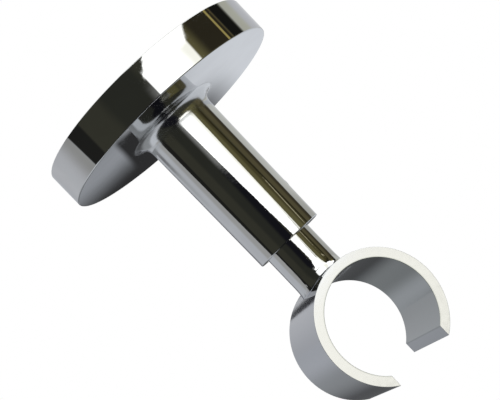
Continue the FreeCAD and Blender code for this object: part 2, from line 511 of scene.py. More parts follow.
@dataclass(frozen=True)
class Metal:
    """A bare or plated metal surface: its colour, gloss and unevenness."""

    name: str
    colour: Colour
    shade: Colour
    gloss: float
    gloss_spread: float
    ripples: tuple[Ripple, ...]

    def tone(self, place: Wire) -> Wire:
        """The metal's colour, with a faint cloudiness."""
        cloud = place.noise(5 * MM, 3.0)
        return place.graph.blend(cloud.rise(0.35, 0.65), self.colour, self.shade)

    def roughness(self, place: Wire) -> Wire:
        """The metal's roughness, a little uneven."""
        haze = place.noise(2.5 * MM, 4.0)
        return self.gloss + haze.rise(0.4, 0.7) * self.gloss_spread

    def relief(self, place: Wire) -> Wire:
        """The height of all the ripples together, in metres.

        Args:
            place: The shaded point in metres.

        Returns:
            Their sum.
        """
        total = self.ripples[0].height(place)
        for ripple in self.ripples[1:]:
            total = total + ripple.height(place)
        return total

    def material(self) -> bpy.types.Material:
        """Makes the material.

        Returns:
            A metal with procedural colour, roughness and relief.
        """
        material = bpy.data.materials.new(self.name)
        material.use_nodes = True
        graph = Graph(material.node_tree)
        place = graph.here()
        bump = {"Height": self.relief(place), "Strength": 1.0, "Distance": 1.0}
        inputs = {
            "Base Color": self.tone(place),
            "Roughness": self.roughness(place),
            "Metallic": 1.0,
            "Normal": graph.add("ShaderNodeBump", None, bump),
        }
        shader = graph.add("ShaderNodeBsdfPrincipled", None, inputs)
        graph.add("ShaderNodeOutputMaterial", None, {"Surface": shader})
        return material


@dataclass(frozen=True)
class RootedChrome(Metal):
    """Mirror chrome on the casting, less even where the sleeve flares into the rosette."""

    face_level: float = -6.9
    face_evenness: float = 0.06
    rim_evenness: float = 0.2
    face_edge: tuple[float, float] = (0.02, 0.12)
    root_start: float = -7.5
    root_end: float = -12.5
    root_radius: float = 9.4
    root_edge: float = 0.5
    root_ripple: Ripple = Ripple(0.8, 0.35, detail=1.0)
    root_turn: float = 1.3
    root_haze: float = 0.17

    def position(self, place: Wire) -> tuple[Wire, Wire, Wire, Wire]:
        """Where a point lies on the casting.

        Args:
            place: The shaded point in metres.

        Returns:
            X, Y and Z and the distance from the sleeve's axis, in millimetres.
        """
        across, along, up = place.graph.vector("MULTIPLY", place, (1 / MM,) * 3).parts()
        return across, along, up, place.graph.math("SQRT", across * across + along * along)

    def flare(self, up: Wire, radius: Wire) -> tuple[Wire, Wire]:
        """Where the sleeve flares into the rosette.

        Args:
            up: Height of the point, in millimetres.
            radius: Its distance from the sleeve's axis, in millimetres.

        Returns:
            How much it belongs to the flare, and how much it lies outside it.
        """
        beyond = radius.rise(self.root_radius - self.root_edge, self.root_radius + self.root_edge)
        return up.rise(self.root_end, self.root_start) * (1 - beyond), beyond

    def roughness(self, place: Wire) -> Wire:
        """The metal's roughness, hazier in the flare, which polishing wheels reach least."""
        flare, _ = self.flare(*self.position(place)[2:])
        return super().roughness(place) + flare * self.root_haze

    def relief(self, place: Wire) -> Wire:
        """The ripples, less on the flat face, with the marks of polishing round the flare.

        Args:
            place: The shaded point in metres.

        Returns:
            The relief's height in metres.
        """
        across, along, up, radius = self.position(place)
        flare, beyond_root = self.flare(up, radius)
        on_face = 1 - abs(up - self.face_level).rise(*self.face_edge)
        rim_and_face = on_face * (self.face_evenness - self.rim_evenness) + self.rim_evenness
        evenness = 1 - beyond_root * (1 - rim_and_face)
        even = super().relief(place) * evenness
        turned = {
            "X": across / radius * self.root_turn,
            "Y": along / radius * self.root_turn,
            "Z": radius + up,
        }
        joined = place.graph.add("ShaderNodeCombineXYZ", None, turned)
        round_axis = place.graph.vector("MULTIPLY", joined, (MM,) * 3)
        return even + flare * self.root_ripple.height(round_axis)


@dataclass(frozen=True)
class RingChrome(Metal):
    """Chrome that is bright on the rod and satin on the ring, with painted shade in the bore."""

    ring_place: Place = (0.0, 0.0, 0.0)
    ring_radius: float = 12.06
    satin_gloss: float = 0.09
    satin_colour: Colour = (0.455, 0.465, 0.485)
    bore_radius: float = 10.2
    # painted shade: the bore takes this darker colour to stand in for the shade inside the ring
    painted_bore_shade: Colour = (0.33, 0.345, 0.345)
    satin_grain: Ripple = Ripple(0.5, 0.06, detail=1.0)
    satin_edge: tuple[float, float] = (0.16, 0.3)
    satin_rag: float = 0.2
    satin_mottle: float = 0.03
    # where the painted shade of the bore gives way to the satin, in millimetres past the bore
    bore_shade_edge: tuple[float, float] = (0.02, 0.3)
    joint_ripple: Ripple = Ripple(0.8, 4.0, (1.0, 1.0, 3.0))
    joint_reach: tuple[float, float] = (0.5, 4.0)

    def from_axis(self, place: Wire) -> Wire:
        """Distance from the pole's axis, in millimetres.

        Args:
            place: The shaded point in metres.

        Returns:
            The distance.
        """
        offset = place.graph.vector("SUBTRACT", place, tuple(value * MM for value in self.ring_place))
        flat = place.graph.vector("MULTIPLY", offset, (1 / MM, 0, 1 / MM))
        return place.graph.vector("LENGTH", flat, (0, 0, 0), "Value")

    def satin(self, place: Wire) -> Wire:
        """1 on the ring and 0 on the rod, with a ragged edge at the joint."""
        reach = self.from_axis(place) + (place.noise(0.7 * MM) - 0.5) * self.satin_rag
        return 1 - reach.rise(*(self.ring_radius + edge for edge in self.satin_edge))

    def tone(self, place: Wire) -> Wire:
        """Bright chrome on the rod, a greyer satin on the ring, and painted shade in its bore: a darker
        colour standing in for the shade inside the ring.

        Args:
            place: The shaded point in metres.

        Returns:
            The colour.
        """
        # painted shade: the bore is darkened by colour and blends into the satin at its edge
        outside = self.from_axis(place).rise(*(self.bore_radius + edge for edge in self.bore_shade_edge))
        satin_and_bore_shade = place.graph.blend(outside, self.painted_bore_shade, self.satin_colour)
        return place.graph.blend(self.satin(place), super().tone(place), satin_and_bore_shade)

    def roughness(self, place: Wire) -> Wire:
        """Glossy on the rod and satin on the ring.

        Args:
            place: The shaded point in metres.

        Returns:
            The roughness.
        """
        bright = super().roughness(place)
        mottle = place.noise(1.1 * MM, 4.0).rise(0.3, 0.7) * self.satin_mottle
        satin = self.satin(place)
        return bright * (1 - satin) + (mottle + self.satin_gloss) * satin

    def relief(self, place: Wire) -> Wire:
        """Fine grain on the ring, and polishing marks where the rod meets it.

        Args:
            place: The shaded point in metres.

        Returns:
            The relief's height in metres.
        """
        even = super().relief(place)
        satin = self.satin(place)
        reach = self.from_axis(place)
        away = reach.rise(*(self.ring_radius + edge for edge in self.joint_reach))
        joint = (1 - away) * (1 - satin)
        marks = joint * self.joint_ripple.height(place)
        return even + marks + satin * self.satin_grain.height(place)


@dataclass(frozen=True)
class ZincPlate(Metal):
    """Bright zinc plate with a bluish passivation and faint stamping lines."""

    tint: Colour = (0.5, 0.55, 0.66)
    streak: Ripple = Ripple(0.5, 3.0, (1.0, 14.0, 1.0), 3.0)

    def tone(self, place: Wire) -> Wire:
        """Zinc with patches of the passivation's tint."""
        patch = place.noise(9 * MM, 2.0).rise(0.4, 0.75)
        return place.graph.blend(patch * 0.45, super().tone(place), self.tint)

    def relief(self, place: Wire) -> Wire:
        """The ripples with the sheet's rolling lines."""
        return super().relief(place) + self.streak.height(place)


def dress(piece: bpy.types.Object, finish: Metal, slot: Slot, *nodes: Node) -> bpy.types.Object:
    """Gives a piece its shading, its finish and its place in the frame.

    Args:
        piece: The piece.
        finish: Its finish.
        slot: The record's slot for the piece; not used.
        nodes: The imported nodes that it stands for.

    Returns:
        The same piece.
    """
    smooth(piece)
    piece.data.materials.clear()
    piece.data.materials.append(finish.material())
    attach(piece, BODY)
    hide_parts(*(node.value for node in nodes))
    return piece


@dataclass
class Rosette:
    """The casting: a hollow round cover with a filleted root, a tapered sleeve and a tapped boss."""

    extent: Extent
    height: float = 6.9
    draft: float = 0.1
    cup_radius: float = 20.9
    cup_depth: float = 4.9
    cup_draft: float = 0.2
    boss_radius: float = 7.0
    boss_top: float = -2.5
    tapped_radius: float = 3.05
    sleeve_root_radius: float = 7.07
    sleeve_end_radius: float = 6.75
    bore_radius: float = 5.29
    shoulder: float = -13.4
    root_fillet: float = 2.3
    rim_rounding: float = 0.2
    back_rounding: float = 0.1
    end_rounding: float = 0.18
    grub_hole_radius: float = 2.05
    grub_hole_drop: float = -29.3
    grub_hole_flare: float = 0.2
    grub_hole_start: float = 2.0
    steps: int = 360
    finish: Metal = field(default_factory=lambda: RootedChrome(
        name="mirror_chrome",
        colour=CHROME,
        shade=CHROME_SHADE,
        gloss=0.012,
        gloss_spread=0.02,
        ripples=(Ripple(6.0, 0.15), Ripple(0.8, 0.18), Ripple(0.25, 0.1)),
    ))

    def outline(self) -> Profile:
        """The casting's section, from the tapped hole round the outside and back up the bore.

        Returns:
            Its closed outline.
        """
        radius = self.extent.high[0]
        end = self.extent.low[2]
        return rounded([
            Corner(self.tapped_radius, self.boss_top),
            Corner(self.boss_radius, self.boss_top),
            Corner(self.boss_radius, -self.cup_depth, 0.8),
            Corner(self.cup_radius - self.cup_draft, -self.cup_depth, 0.8),
            Corner(self.cup_radius, 0.0, self.back_rounding),
            Corner(radius, 0.0, self.back_rounding),
            Corner(radius - self.draft, -self.height, self.rim_rounding),
            Corner(self.sleeve_root_radius, -self.height, self.root_fillet),
            Corner(self.sleeve_end_radius, end, self.end_rounding),
            Corner(self.bore_radius, end, self.end_rounding),
            Corner(self.bore_radius, self.shoulder, 0.3),
            Corner(self.tapped_radius, self.shoulder),
        ], steps=12)

    def grub_hole(self) -> bpy.types.Object:
        """The cutter for the grub screw's hole, flared where it leaves the sleeve.

        Returns:
            The cutter, in place.
        """
        outer = self.sleeve_root_radius + 2.0
        wide = self.grub_hole_radius + self.grub_hole_flare
        cutter = lathe("grub_hole_cutter", [
            (0.0, self.grub_hole_start),
            (self.grub_hole_radius, self.grub_hole_start),
            (self.grub_hole_radius, self.sleeve_end_radius - self.grub_hole_flare),
            (wide, self.sleeve_end_radius),
            (wide, outer),
            (0.0, outer),
        ], 96, closed=False)
        sideways = Matrix.Rotation(math.pi / 2, 4, "Y")
        cutter.matrix_world = Matrix.Translation((0, 0, self.grub_hole_drop * MM)) @ sideways
        return cutter

    def build(self) -> bpy.types.Object:
        """Makes and dresses the casting."""
        piece = cut(lathe("rosette_casting", self.outline(), self.steps), [self.grub_hole()])
        return dress(piece, self.finish, Slot.CASTING, Node.ROSETTE)


@dataclass
class PoleRing:
    """The open ring and its rod, in one piece with a blended joint."""

    extent: Extent
    rod_radius: float = 4.77
    rod_bevel: float = 0.4
    wall: float = 1.86
    drop: float = -57.55
    mouth: float = 12.5
    edge_rounding: float = 0.06
    mouth_rounding: float = 0.05
    joint_fillet: float = 0.45
    joint_flare: float = 3.0
    collar_angle: float = 42.0
    collar_steps: int = 56
    rod_steps: int = 24
    bearing_steps: int = 4000
    width_steps: int = 48
    arm_steps: int = 150
    corner_steps: int = 5
    blend_steps: int = 16
    spread_steps: int = 14

    def __post_init__(self) -> None:
        """Works out the ring's own sizes from its box."""
        self.radius = (self.extent.high[0] - self.extent.low[0]) / 2
        self.shift = (self.extent.high[0] + self.extent.low[0]) / 2
        self.bore = self.radius - self.wall
        self.half_width = self.extent.high[1]
        self.flat = self.half_width - self.edge_rounding
        self.collar = math.radians(self.collar_angle)

    def section(self, inset: float) -> np.ndarray:
        """The ring wall's section.

        Args:
            inset: How far the section is shrunk.

        Returns:
            Distance from the pole's axis and place along it of each point, the outer face first.
        """
        rounding = self.edge_rounding - inset
        outer = self.radius - self.edge_rounding
        inner = self.bore + self.edge_rounding
        along_face = np.linspace(-self.flat, self.flat, self.width_steps + 1)
        points = [(self.radius - inset, along) for along in along_face]
        ends = ((outer, self.flat), (inner, self.flat), (inner, -self.flat), (outer, -self.flat))
        for quarter, (across, along) in enumerate(ends):
            for step in range(self.corner_steps + 1):
                turn = math.pi / 2 * (quarter + step / self.corner_steps)
                spot = (across + rounding * math.cos(turn), along + rounding * math.sin(turn))
                points.append(spot)
        del points[self.width_steps + 1], points[-1]
        return np.array(points)

    @staticmethod
    def bend(section: np.ndarray, angles: np.ndarray) -> np.ndarray:
        """Places section points round the pole's axis.

        Args:
            section: Distance from the axis and place along it.
            angles: Angle of each point from straight up.

        Returns:
            The points about the ring's centre.
        """
        return np.stack(
            [section[:, 0] * np.sin(angles), section[:, 1], section[:, 0] * np.cos(angles)], axis=-1
        )

    def arm(self, side: int) -> np.ndarray:
        """One arm of the ring.

        Args:
            side: 1 for the arm on +X, -1 for the other.

        Returns:
            Rows of section points from the collar to the arm's rounded end.
        """
        section = self.section(0.0)
        half_mouth = self.mouth / 2
        stop = math.pi - np.arcsin((half_mouth + self.mouth_rounding) / section[:, 0])
        rows = [
            self.bend(section, side * (self.collar + share * (stop - self.collar)))
            for share in np.linspace(0, 1, self.arm_steps + 1)
        ]
        for step in range(1, self.corner_steps + 1):
            turn = math.pi / 2 * step / self.corner_steps
            shrunk = self.section(self.mouth_rounding * (1 - math.cos(turn)))
            gap = half_mouth + self.mouth_rounding * (1 - math.sin(turn))
            rows.append(self.bend(shrunk, side * (math.pi - np.arcsin(gap / shrunk[:, 0]))))
        return np.array(rows)

    def underside(self) -> np.ndarray:
        """The collar's faces apart from the outer one, which carries the rod.

        Returns:
            Rows of section points.
        """
        loop = self.section(0.0)
        strip = np.concatenate([loop[self.width_steps:], loop[:1]])
        angles = np.linspace(-self.collar, self.collar, self.collar_steps + 1)
        return np.array([self.bend(strip, np.full(len(strip), angle)) for angle in angles])

    def collar_edge(self) -> np.ndarray:
        """The outer face's border round the rod, unrolled: distance round the ring and along the pole.

        Returns:
            The border's points, once round.
        """
        reach = self.radius * self.collar
        across = np.linspace(-reach, reach, self.collar_steps + 1)
        along = np.linspace(-self.flat, self.flat, self.width_steps + 1)
        far = [(x, self.flat) for x in across[:-1]]
        right = [(reach, y) for y in along[:0:-1]]
        near = [(x, -self.flat) for x in across[:0:-1]]
        left = [(-reach, y) for y in along[:-1]]
        return np.array(far + right + near + left)

    def blend_arc(self, turns: np.ndarray) -> tuple[np.ndarray, np.ndarray, np.ndarray]:
        """The rolling ball between rod and ring.

        Args:
            turns: Angles round the rod.

        Returns:
            The ball's centres, and the directions from them to the rod and to the ring.
        """
        away = self.rod_radius + self.joint_fillet
        lift = self.radius + self.joint_fillet
        x = away * np.cos(turns)
        z = np.sqrt(lift**2 - x**2)
        centres = around(away, turns, z)
        to_rod = around(-1.0, turns, 0.0)
        to_ring = np.stack([-x / lift, 0 * turns, -z / lift], axis=-1)
        return centres, to_rod, to_ring

    def foot(self, turns: np.ndarray) -> np.ndarray:
        """Where the blend meets the ring, unrolled, at these angles round the rod.

        Args:
            turns: Angles round the rod.

        Returns:
            Distance round the ring and place along the pole of each point.
        """
        centres, _, to_ring = self.blend_arc(turns)
        touch = centres + self.joint_fillet * to_ring
        return np.stack([self.radius * np.arctan2(touch[:, 0], touch[:, 2]), touch[:, 1]], axis=-1)

    def rod_and_collar(self) -> np.ndarray:
        """Rows of points down the rod, through the blend and out to the collar's border.

        Returns:
            The rows, from the rod's top.
        """
        edge = self.collar_edge()
        fine = np.linspace(-math.pi, math.pi, self.bearing_steps + 1)
        fine_foot = self.foot(fine)
        bearing = np.unwrap(np.arctan2(fine_foot[:, 1], fine_foot[:, 0]))
        turns = np.interp(np.arctan2(edge[:, 1], edge[:, 0]), bearing, fine)
        centres, to_rod, to_ring = self.blend_arc(turns)
        top = self.extent.high[2] - self.drop
        tip = rounded([
            Corner(self.rod_radius - self.rod_bevel - 1, top),
            Corner(self.rod_radius - self.rod_bevel, top),
            Corner(self.rod_radius, top - self.rod_bevel),
            Corner(self.rod_radius, top - 4 * self.rod_bevel),
        ], steps=4, closed=False)
        rows = [around(radius, turns, height) for radius, height in tip[1:]]
        start = rows[-1][:, 2]
        lift = (self.joint_flare - self.joint_fillet) * -to_ring[:, 2]
        rise = centres[:, 2] + lift - start
        for share in np.linspace(0, 1, self.rod_steps + 1)[1:]:
            rows.append(around(self.rod_radius, turns, start + share * rise))
        opening = np.arccos(np.sum(to_rod * to_ring, axis=1))[:, None]
        for share in np.linspace(0, 1, self.blend_steps + 1)[1:]:
            direction = np.sin((1 - share) * opening) * to_rod + np.sin(share * opening) * to_ring
            row = centres + self.joint_fillet * (direction / np.sin(opening))
            row[:, 2] += lift * (1 - math.sin(math.pi / 2 * share))
            rows.append(row)
        foot = self.foot(turns)
        for share in np.linspace(0, 1, self.spread_steps + 1)[1:]:
            spot = foot + share * (edge - foot)
            on_face = np.column_stack([np.full(len(spot), self.radius), spot[:, 1]])
            rows.append(self.bend(on_face, spot[:, 0] / self.radius))
        return np.array(rows)

    def build(self) -> bpy.types.Object:
        """Makes and dresses the ring with its rod.

        Returns:
            The ring.
        """
        mesh = bmesh.new()
        arms = [add_sheet(mesh, self.arm(side), wrapped=True) for side in (1, -1)]
        bmesh.ops.poke(mesh, faces=[mesh.faces.new(arm[-1]) for arm in arms])
        add_sheet(mesh, self.underside(), wrapped=False)
        mesh.faces.new(add_sheet(mesh, self.rod_and_collar(), wrapped=True)[0])
        bmesh.ops.translate(mesh, vec=(self.shift, 0, self.drop), verts=mesh.verts)
        piece = make_piece("open_pole_ring", mesh)
        finish = RingChrome(
            name="rod_and_ring_chrome",
            colour=CHROME,
            shade=CHROME_SHADE,
            gloss=0.012,
            gloss_spread=0.025,
            ripples=(Ripple(6.0, 0.15), Ripple(0.8, 0.2), Ripple(0.25, 0.2)),
            ring_place=(self.shift, 0.0, self.drop),
            ring_radius=self.radius,
            bore_radius=self.bore,
        )
        return dress(piece, finish, Slot.RING, Node.POLE_RING)


@dataclass(frozen=True)
class Thread:
    """A screw thread round the Z axis. Its depth and its run-out are shares of the pitch."""

    radius: float
    pitch: float
    bottom: float
    top: float
    depth: float = 0.6
    flank: float = 1.3
    crest: float = 0.15
    steps: int = 64
    steps_per_pitch: int = 12
    run_out: float = 0.5

    def rows(self) -> np.ndarray:
        """Rows of points up the thread.

        Returns:
            The rows, the lowest first.
        """
        depth = self.depth * self.pitch
        turns = facet_turns(self.steps)
        count = round((self.top - self.bottom) / self.pitch * self.steps_per_pitch)
        rows = []
        for height in np.linspace(self.bottom, self.top, count + 1):
            phase = (height / self.pitch - turns / FULL_TURN) % 1
            groove = np.clip(self.flank * np.abs(2 * phase - 1) - self.crest, 0, 1)
            from_end = min(height - self.bottom, self.top - height)
            fade = min(1.0, from_end / (self.run_out * self.pitch))
            radii = self.radius - depth * groove * fade
            rows.append(around(radii, turns, height))
        return np.array(rows)

    def ring(self, radius: float, height: float) -> np.ndarray:
        """One round row of points with the thread's facets."""
        return around(radius, facet_turns(self.steps), height)


@dataclass
class CeilingPlate:
    """The stamped steel disc that is screwed to the ceiling inside the rosette."""

    extent: Extent
    stud_radius: float = 3.0
    head_radius: float = 5.2
    head_base: float = -2.2
    hole_radius: float = 2.25
    hole_place: float = 13.0
    land: float = 0.4
    countersink_reach: float = 1.0
    back_bevel: float = 0.15
    edge_rounding: float = 0.25
    steps: int = 240
    finish: Metal = field(default_factory=lambda: ZincPlate(
        name="bright_zinc",
        colour=(0.6, 0.62, 0.65),
        shade=(0.52, 0.54, 0.57),
        gloss=0.16,
        gloss_spread=0.16,
        ripples=(Ripple(7.0, 0.8), Ripple(0.8, 1.8, detail=3.0)),
    ))

    def countersink(self, across: float) -> bpy.types.Object:
        """The cutter for one countersunk hole.

        Args:
            across: The hole's place along X.

        Returns:
            The cutter, in place.
        """
        bottom = self.extent.low[2]
        flare = -bottom - self.land
        reach = self.countersink_reach
        cutter = lathe("hole_cutter", [
            (0.0, reach),
            (self.hole_radius + reach + self.back_bevel, reach),
            (self.hole_radius, -self.back_bevel),
            (self.hole_radius, -self.land),
            (self.hole_radius + flare, bottom),
            (self.hole_radius + flare + reach, bottom - reach),
            (0.0, bottom - reach),
        ], 128, closed=False)
        cutter.matrix_world = Matrix.Translation((across * MM, 0, 0))
        return cutter

    def build(self) -> bpy.types.Object:
        """Makes and dresses the plate.

        Returns:
            The plate.
        """
        radius = self.extent.high[0]
        bottom = self.extent.low[2]
        outline = rounded([
            Corner(self.stud_radius, bottom, 0.08),
            Corner(radius, bottom, self.edge_rounding),
            Corner(radius, 0.0, self.edge_rounding),
            Corner(self.head_radius, 0.0, 0.08),
            Corner(self.stud_radius, self.head_base, 0.08),
        ], steps=6)
        piece = lathe("stamped_ceiling_plate", outline, self.steps)
        cut(piece, [self.countersink(side * self.hole_place) for side in (1, -1)])
        return dress(piece, self.finish, Slot.PLATE, Node.CEILING_PLATE)


@dataclass
class ThreadedStud:
    """The stud that is headed over in the plate, with a coarse metric thread."""

    extent: Extent
    radius: float = 3.0
    pitch: float = 1.0
    bevel: float = 0.4
    head_base: float = -2.2
    head_rim: float = 0.05
    head_bevel: float = 0.15
    dimple_radius: float = 2.2
    dimple_depth: float = 0.18
    dimple_slope: float = 1.2
    tip_radius: float = 0.2
    finish: Metal = field(default_factory=lambda: Metal(
        name="zinc_on_stud",
        colour=(0.58, 0.6, 0.63),
        shade=(0.48, 0.5, 0.53),
        gloss=0.2,
        gloss_spread=0.15,
        ripples=(Ripple(1.6, 5.0), Ripple(0.35, 2.0, detail=2.0)),
    ))

    def build(self) -> bpy.types.Object:
        """Makes and dresses the stud.

        Returns:
            The stud.
        """
        head_radius = self.extent.high[0]
        top = self.extent.high[2]
        bottom = self.extent.low[2]
        thread = Thread(self.radius, self.pitch, bottom + self.bevel, self.head_base - self.bevel)
        head = rounded([
            Corner(self.radius, self.head_base, 0.1),
            Corner(head_radius - self.head_rim, top - self.head_rim, 0.0),
            Corner(head_radius - self.head_bevel, top, 0.1),
            Corner(self.dimple_radius, top, self.dimple_slope),
            Corner(self.dimple_radius - self.dimple_slope, top - self.dimple_depth, 1.0),
            Corner(self.tip_radius, top - self.dimple_depth, 0.0),
        ], steps=5, closed=False)
        tip = [thread.ring(self.radius - self.bevel, bottom)]
        crown = [thread.ring(radius, height) for radius, height in head]
        mesh = bmesh.new()
        rows = add_sheet(mesh, np.concatenate([tip, thread.rows(), crown]), wrapped=True)
        mesh.faces.new(rows[0])
        mesh.faces.new(rows[-1])
        piece = make_piece("riveted_stud", mesh)
        return dress(piece, self.finish, Slot.STUD, Node.THREADED_STUD)


@dataclass
class GrubScrew:
    """The headless screw with a hexagon socket, in the side of the sleeve."""

    extent: Extent
    radius: float = 2.0
    pitch: float = 0.7
    bevel: float = 0.4
    key: float = 2.0
    socket_depth: float = 1.3
    socket_tip: float = 0.35
    socket_bevel: float = 0.1
    socket_reach: float = 0.5
    finish: Metal = field(default_factory=lambda: Metal(
        name="nickel_on_screw",
        colour=(0.52, 0.52, 0.5),
        shade=(0.42, 0.42, 0.41),
        gloss=0.18,
        gloss_spread=0.12,
        ripples=(Ripple(1.0, 2.0), Ripple(0.25, 1.5)),
    ))

    def build(self) -> bpy.types.Object:
        """Makes and dresses the screw.

        Returns:
            The screw.
        """
        length = self.extent.high[0] - self.extent.low[0]
        drop = (self.extent.high[2] + self.extent.low[2]) / 2
        thread = Thread(self.radius, self.pitch, self.bevel, length - self.bevel)
        mesh = bmesh.new()
        first, last = (thread.ring(self.radius - self.bevel, height) for height in (0, length))
        rows = add_sheet(mesh, np.concatenate([[first], thread.rows(), [last]]), wrapped=True)
        mesh.faces.new(rows[0])
        mesh.faces.new(rows[-1])
        piece = make_piece("hex_grub_screw", mesh)
        corner = self.key / math.sqrt(3)
        socket = lathe("socket_cutter", [
            (0.0, length - self.socket_depth - self.socket_tip),
            (corner, length - self.socket_depth),
            (corner, length - self.socket_bevel),
            (corner + self.socket_bevel + self.socket_reach, length + self.socket_reach),
            (0.0, length + self.socket_reach),
        ], 6, closed=False)
        cut(piece, [socket])
        piece.data.transform(Matrix.Rotation(math.pi / 2, 4, "Y"))
        piece.data.transform(Matrix.Translation((self.extent.low[0] * MM, 0, drop * MM)))
        return dress(piece, self.finish, Slot.SCREW, Node.GRUB_SCREW)


@dataclass(frozen=True)
class Panel:
    """Part of the studio as the chrome sees it: a stretch of directions with soft edges.

    Azimuth is in degrees from +X towards +Y, and elevation in degrees from the horizon. The sides are
    azimuths and the ends elevations, the lower first, each with the width of its soft edge. The sides
    are given at one level, and lean by a number of degrees for each degree of elevation.
    """

    name: str
    colour: Colour
    sides: tuple[float, float]
    soft: tuple[float, float] = (1.0, 1.0)
    ends: tuple[float, float] = (-95.0, 95.0)
    soft_ends: tuple[float, float] = (1.0, 1.0)
    level: float = 0.0
    lean: tuple[float, float] = (0.0, 0.0)

    def cover(self, azimuth: Wire, elevation: Wire) -> Wire:
        """How much of a direction the panel covers.

        Args:
            azimuth: The direction's azimuth in degrees.
            elevation: Its elevation in degrees.

        Returns:
            From 0 outside the panel to 1 inside it.
        """
        middle = sum(self.sides) / 2
        half = (self.sides[1] - self.sides[0]) / 2
        offset = azimuth.graph.math("WRAP", azimuth - middle, 180.0, -180.0)
        climb = elevation - self.level
        from_left = offset - climb * self.lean[0]
        from_right = offset - climb * self.lean[1]
        left = from_left.rise(-half - self.soft[0] / 2, -half + self.soft[0] / 2)
        right = 1 - from_right.rise(half - self.soft[1] / 2, half + self.soft[1] / 2)
        covered = left * right
        bottom, top = self.ends
        if bottom > -ZENITH:
            spread = self.soft_ends[0] / 2
            covered = covered * elevation.rise(bottom - spread, bottom + spread)
        if top < ZENITH:
            spread = self.soft_ends[1] / 2
            covered = covered * (1 - elevation.rise(top - spread, top + spread))
        return covered


